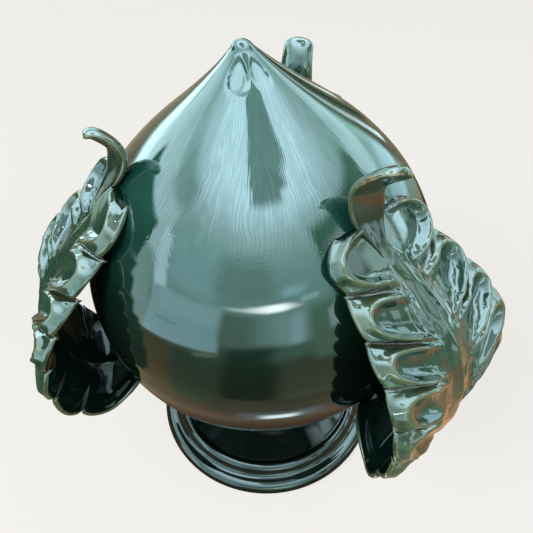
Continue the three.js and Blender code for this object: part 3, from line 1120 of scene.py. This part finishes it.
@dataclass(frozen=True)
class Patch:
    """A soft-edged patch of the light tent, in degrees of azimuth from the camera's own and of elevation."""

    start: float
    end: float
    low: float
    high: float
    soft: float
    glow: Colour
    slant: float = 0.0
    tilt: float = 0.0
    fade: float = 0.0

    def cover(self, az: Array, el: Array) -> Array:
        """How much of the tent the patch covers, from 0 to 1.

        A slant shifts its sides with elevation, a tilt shifts its top and bottom with azimuth, and a fade
        softens its sides more than its top and bottom.

        Args:
            az: azimuths.
            el: elevations.

        Returns:
            The cover at each place.
        """
        across = az - self.slant * (el - (self.low + self.high) / 2.0)
        above = el - self.tilt * (az - (self.start + self.end) / 2.0)
        sides = window(across, self.start, self.end, self.soft + self.fade)
        return sides * window(above, self.low, self.high, self.soft)


# The tent's flags, panes and strips in the order in which they are laid, as rows of Patch's fields.
PATCHES = tuple(Patch(*row) for row in (
    (-190, 190, 74, 95, 2, (1.1, 1.7, 1.6)),
    (8, 26, 77.5, 81, 1, (30, 32, 32)),
    (-10, 30, 57.5, 76, 2.6, (1.6, 2.4, 2.5)),
    (-15, 44, 61.5, 76, 1.5, (1.5, 2.3, 2.3), 0, -0.05),
    (-18, 57, 65, 76, 1.5, (1.5, 2.3, 2.3), 0, -0.05),
    (-134, -73, 12, 37, 2, (3.2, 4.7, 5)),
    (-96, -68, 36, 46, 3, (1.9, 2.9, 3), 0, 0.15),
    (-90, -70, -10, 17, 2.5, (1.6, 2.6, 2.6), -0.3),
    (-63, -27, 12, 38, 6, (2, 3.5, 3.7)),
    (-30, 6, 16, 37, 6, (1.3, 2, 2)),
    (-70.5, -61, -4, 29, 1.5, (3.9, 6.1, 6.8), -0.43),
    (-90, -64, -20, -8.5, 1.5, (1.5, 2.3, 2.2), 0, 0.1),
    (-67, -24.5, -17.5, 8, 1.5, (1.9, 3.3, 3.6), 0, 0.09),
    (-62, -22, 0, 9, 2.5, (2.2, 3.7, 4), 0, 0.06),
    (-62, -49, -6.4, -5, 0.8, (1.4, 2.5, 2.5), 0, 0.15),
    (-24.5, -2, -7, 8.5, 2, (0.75, 1.2, 0.95), 0.1, 0, 1.5),
    (-5, 8, -8, 8.5, 3, (1.2, 2.1, 1.9), 0, 0, 4),
    (4, 24, -9, 8.5, 2.5, (1.7, 2.8, 2.8), 0, 0.1, 3),
    (14, 21, -8, 7, 2, (2.2, 3.7, 4.2), 0.15, 0, 1),
    (-24, 6, -64, -9, 4, (0.07, 0.11, 0.06), 0.1, 0.08, 3),
    (4, 26, -20, -9, 4, (0.5, 0.95, 0.75), 0.2, 0.1, 4),
    (8, 40, -64, -20, 4.5, (0.38, 0.46, 0.3), 0.1, 0, 4),
    (-20, 21, 10.4, 11.7, 0.9, (6, 7.6, 7.9), 0, 0.01, 5),
    (-8, 17, 10.2, 13, 1, (10, 12, 12.3), 0, 0.02, 5),
    (0, 13, 10, 13.6, 1.2, (15, 17, 17.5), 0, 0.03, 4),
    (12, 26, 17.5, 23, 2, (2.4, 4.4, 4.9), 0.5, 0, 2),
    (22, 33, 12.5, 15.5, 1.2, (2.6, 4.4, 4.6)),
    (25, 42, -24, 9, 4, (0.7, 1.3, 0.9)),
    (-104, -49, -64, -20.5, 2.5, (0.42, 0.34, 0.17)),
    (-49, -24, -64, -20, 4, (0.22, 0.32, 0.2)),
    (-37, -24.5, -21, -17, 1.5, (0.9, 1.15, 0.8), 0, 0.3),
    (-24, 42, -67, -55, 3, (0.3, 0.28, 0.18)),
    (-14, 28, -73.5, -66, 2, (0.6, 0.68, 0.72), 0, 0, 6),
    (-3, 15, -72.2, -68.4, 1.2, (4.4, 5.4, 5.6), 0, 0, 4),
    # Painted reflection: these green flags stand for the left leaf as the bud mirrors it.
    (-122, -84, 4, 23, 1.2, (0.1, 0.2, 0.15), 0, 0.1),
    (-122, -83, -3, 5, 1.5, (0.08, 0.17, 0.13), 0.3),
    (-122, -80, -10, -2, 1.5, (0.07, 0.15, 0.11), -0.2),
    (-122, -75, -17, -9, 1.5, (0.06, 0.14, 0.1), -0.3),
    (-122, -69, -25, -15.5, 1.5, (0.06, 0.13, 0.1), -0.2),
    (-122, -65, -36, -23.5, 1.5, (0.05, 0.12, 0.09), -0.1),
    (-122, -62.5, -51, -34.5, 1.5, (0.05, 0.1, 0.08)),
    (-122, -66, -57, -50, 1.5, (0.04, 0.08, 0.06), 0.5),
    (42, 112, -64, 38, 3, (0.45, 0.75, 0.55), 0, -0.12),
    (50, 126, -70, -17, 4, (0.8, 0.45, 0.24), 0, 0, 9),
    (48, 64, 14, 33, 2.5, (2, 2.6, 2.9), 0.2),
    (66, 78, 2, 22, 3, (2.4, 3.6, 3.6), -0.3),
    (83, 91, -2, 21, 1.8, (2.8, 4.3, 4.7), 0.3),
    (95, 103, 2, 19, 1.8, (4.2, 6.4, 7.1), 0.3),
    (36, 50, -3, 6, 1.5, (2.2, 3, 3), 0, 0.2),
    (108, 138, 14, 30, 2, (3, 4.5, 4.8), 0, 0.3),
    (112, 138, -6, 8, 2, (1.8, 2.9, 3.2), -0.6),
    (138, 190, -64, 24, 3, (0.3, 0.25, 0.15)),
    (143, 146, -12, 24, 0.8, (1.8, 2.5, 2.5), -0.1),
    (150, 154, -12, 22, 1, (0.05, 0.09, 0.06), -0.1),
    (158, 161, -12, 20, 0.8, (1.4, 1.6, 1.5), -0.1),
    (-156, -124, 2, 12, 2, (4, 6, 6.6)),
    (-190, -132, -64, 1, 4, (0.45, 0.36, 0.25)),
    (-190, -122, -100, -26, 4, (0.1, 0.06, 0.035)),
    (122, 190, -100, -26, 4, (0.1, 0.06, 0.035)),
))


@dataclass
class Stage:
    """The floor, the lights and the camera.

    The ramp is the tent's glow by elevation. Each lamp is a name, a place, a side and a power.
    """

    focal_pixels: float = 530.0
    frame_pixels: float = 533.0
    axis_pixel: tuple[float, float] = (262.1, 263.8)
    azimuth: float = 17.0
    elevation: float = 45.2
    roll: float = -2.36
    distance: float = 3.24 * Bud.radius
    aim_height: float = 1.52 * Bud.radius
    backdrop: Colour = (0.905, 0.888, 0.855)
    room_light: float = 0.45
    floor_reach: float = 6.0
    floor_drop: float = 0.2 * MM
    paper_glow: float = 0.8
    tent_radius: float = 1.6
    tent_middle: float = 0.158
    mat_start: float = 75.0 * MM
    mat_tuck: float = 11.0 * MM
    mat_lift: float = 0.4 * MM
    mat_top: float = -6.0
    lamps: tuple = (("key", (-0.9, -1.1, 1.6), 0.9, 26.0), ("fill", (1.4, -0.6, 0.9), 1.2, 12.0))
    ramp: tuple[tuple[float, Colour], ...] = (
        (-89, (0.1, 0.06, 0.035)), (-80, (0.3, 0.19, 0.12)), (-75, (0.45, 0.33, 0.22)),
        (-60, (0.34, 0.28, 0.18)), (-25, (0.35, 0.4, 0.28)), (-10, (0.7, 1, 0.85)),
        (0, (1.1, 1.8, 1.6)), (8, (1.4, 2.4, 2.3)), (25, (1.65, 2.8, 2.8)), (35, (1.9, 3.2, 3.1)),
        (40, (2.4, 3.8, 3.9)), (46, (3.3, 4.9, 5.3)), (52, (4.6, 7, 7.9)), (60, (6, 9, 10.1)),
        (90, (6.4, 9.6, 10.8)),
    )

    def camera(self) -> None:
        """Puts the camera at the photograph's place: above the bud, close, and leaning a little."""
        turn, rise, roll = (math.radians(v) for v in (self.azimuth, self.elevation, self.roll))
        spin = Matrix.Rotation(turn, 3, "Z")
        back = spin @ Vector((0.0, -math.cos(rise), math.sin(rise)))
        right = spin @ Vector((1.0, 0.0, 0.0))
        up = back.cross(right)
        level = right * math.cos(roll) + up * math.sin(roll)
        upright = up * math.cos(roll) - right * math.sin(roll)
        middle = self.frame_pixels / 2.0
        off_x = (middle - self.axis_pixel[0]) / self.focal_pixels
        off_y = (self.axis_pixel[1] - middle) / self.focal_pixels
        back = (back - level * off_x - upright * off_y).normalized()
        level = (level - back * level.dot(back)).normalized()
        place = spin @ Vector((0.0, -self.distance * math.cos(rise), self.distance * math.sin(rise)))
        place.z += self.aim_height
        data = bpy.data.cameras.new("camera")
        data.lens = data.sensor_width * self.focal_pixels / self.frame_pixels
        data.clip_start = 0.01
        camera = bpy.data.objects.new("camera", data)
        axes = Matrix((level, back.cross(level), back)).transposed()
        camera.matrix_world = Matrix.Translation(place) @ axes.to_4x4()
        bpy.context.scene.collection.objects.link(camera)
        bpy.context.scene.camera = camera

    def floor(self) -> None:
        """Lays a wide pale floor that the camera and the glazes see at the backdrop's colour."""
        far, z = self.floor_reach, -self.floor_drop
        points = np.array([[-far, -far, z], [far, -far, z], [far, far, z], [-far, far, z]])
        plane = make_object("floor", points, [(0, 1, 2, 3)], {})
        bench = Bench.material("floor_paper")
        paper = bench.shade({"Base Color": self.backdrop, "Roughness": 0.9, "Specular IOR Level": 0.0})
        seen = bench.ray("Camera") + bench.ray("Glossy") + bench.ray("Transmission")
        glow = bench.node("ShaderNodeEmission", {}, {"Color": self.backdrop, "Strength": 1.0})
        bench.veil(seen.least(1.0) * self.paper_glow, glow)
        plane.data.materials.append(paper)

    def world(self) -> None:
        """Fills the room with soft grey light behind a pale backdrop."""
        bench = Bench(bpy.data.worlds.new("room"))
        bpy.context.scene.world = bench.shade({"Color": self.backdrop, "Strength": self.room_light})
        pale = bench.node("ShaderNodeBackground", {}, {"Color": self.backdrop, "Strength": 1.0})
        bench.veil(bench.ray("Camera"), pale)

    def tent(self) -> None:
        """Hangs a light tent that only the glaze's shine sees.

        It is one skin of rings about the object: a mat that lies on the floor below the horizon, and a wide
        dome above it. Its glow follows a ramp up the rings, over which the patches are laid in turn.
        """
        el, az = np.meshgrid(np.linspace(-89.0, 89.5, 358), np.linspace(-180.0, 180.0, 361), indexing="ij")
        rise, turn = np.radians(el), np.radians(az + self.azimuth - 90.0)
        mat = self.mat_start + self.tent_middle / np.tan(np.radians(np.maximum(-el, 1.0)))
        mat = np.minimum(mat - self.mat_tuck * smooth(86.0, 89.0, -el), self.tent_radius)
        reach = np.where(el < self.mat_top, mat, self.tent_radius * np.cos(rise))
        height = np.maximum(self.tent_middle + self.tent_radius * np.sin(rise), self.mat_lift)
        height = np.where(el < self.mat_top, self.mat_lift, height)
        points = revolve(reach, height, turn)
        steps, tints = zip(*self.ramp)
        glow = np.stack([np.interp(el, steps, part) for part in zip(*tints)], axis=-1)
        for patch in PATCHES:
            cover = patch.cover(az, el)[..., None]
            glow = glow * (1.0 - cover) + np.array(patch.glow) * cover
        rows, columns = el.shape
        a = (np.arange(rows - 1)[:, None] * columns + np.arange(columns - 1)).ravel()
        quads = np.stack([a, a + columns, a + columns + 1, a + 1], axis=-1)
        skin = make_object("light_tent", points, quads.tolist(), {})
        layer = skin.data.color_attributes.new("glow", "FLOAT_COLOR", "POINT")
        layer.data.foreach_set("color", np.c_[glow.reshape(-1, 3), np.ones(el.size)].ravel())
        bench = Bench.material("tent_light")
        light = bench.shade({
            "Base Color": (0.0, 0.0, 0.0), "Specular IOR Level": 0.0,
            "Emission Color": bench.mark("glow", "Color"), "Emission Strength": 1.0,
        })
        light.cycles.emission_sampling = "NONE"
        skin.data.materials.append(light)
        skin.visible_camera = skin.visible_diffuse = skin.visible_shadow = skin.visible_transmission = False

    def lamp(self, name: str, place: tuple[float, float, float], size: float, power: float) -> None:
        """Hangs a soft square lamp that faces the bud.

        Args:
            name: the lamp's name.
            place: where it hangs, in metres.
            size: its side, in metres.
            power: its power in watts.
        """
        data = bpy.data.lights.new(name, "AREA")
        data.energy, data.size = power, size
        lamp = bpy.data.objects.new(name, data)
        lamp.visible_glossy = False
        lamp.location = place
        aim = Vector((0.0, 0.0, self.aim_height)) - Vector(place)
        lamp.rotation_mode = "QUATERNION"
        lamp.rotation_quaternion = aim.to_track_quat("-Z", "Y")
        bpy.context.scene.collection.objects.link(lamp)

    def build(self) -> None:
        """Sets the view, the camera, the floor, the room and the lights."""
        bpy.context.scene.view_settings.view_transform = "Standard"
        self.camera()
        self.floor()
        self.world()
        self.tent()
        for name, place, size, power in self.lamps:
            self.lamp(name, place, size, power)


def dress(piece: bpy.types.Object, glaze: bpy.types.Material, node: str) -> None:
    """Gives a piece its glaze and puts it in its solid's place.

    Args:
        piece: the finished piece.
        glaze: its material.
        node: the solid that it stands for.
    """
    piece.data.materials.clear()
    piece.data.materials.append(glaze)
    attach(piece, "root")
    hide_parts(node)
    low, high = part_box(node)
    log.info("%s stands for %s, %s to %s", piece.name, node, tuple(low), tuple(high))


def main() -> None:
    """Builds the pumo on its stage, piece by piece."""
    logging.basicConfig(level=logging.INFO, format="%(name)s: %(message)s")
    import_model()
    Stage().build()
    bud = Bud()
    dress(bud.build(), BudGlaze().make(bud), "bud")
    dress(Foot().build(), FootGlaze().make(), "foot")
    leaf_glaze = LeafGlaze().make()
    # The straps' darker rust helps paint the dark reflection on their outer faces.
    strap_gloss = Gloss(ior=1.2, coat_ior=1.75)
    strap_glaze = LeafGlaze("stem_glaze", rust=(0.12, 0.055, 0.022), gloss=strap_gloss).make()
    leaves = (
        Leaf(Side.BACK, bud, 75.0 * MM, 42.5 * MM, 0.07, 0.0, 0.0),
        Leaf(Side.LEFT, bud, 70.5 * MM, 40.0 * MM, -0.05, 1.2 * MM, 1.5 * MM),
        Leaf(Side.RIGHT, bud, 80.5 * MM, 45.5 * MM, 0.19, 5.0 * MM, -1.5 * MM),
    )
    straps = (
        Stem(Side.BACK, bud, 34.0 * MM, 12.0 * MM, 3.5 * MM, 0.15, 0.7, 0.0),
        Stem(Side.LEFT, bud, 33.0 * MM, 9.7 * MM, 0.3 * MM, -0.19, 0.58, 33.0),
        Stem(Side.RIGHT, bud, 38.4 * MM, 14.2 * MM, -2.6 * MM, 0.02, 0.72, -27.0),
    )
    for leaf, strap in zip(leaves, straps):
        dress(leaf.build(), leaf_glaze, f"leaf_{leaf.side.label}")
        dress(strap.build(), strap_glaze, f"stem_{strap.side.label}")


if __name__ == "__main__":
    main()
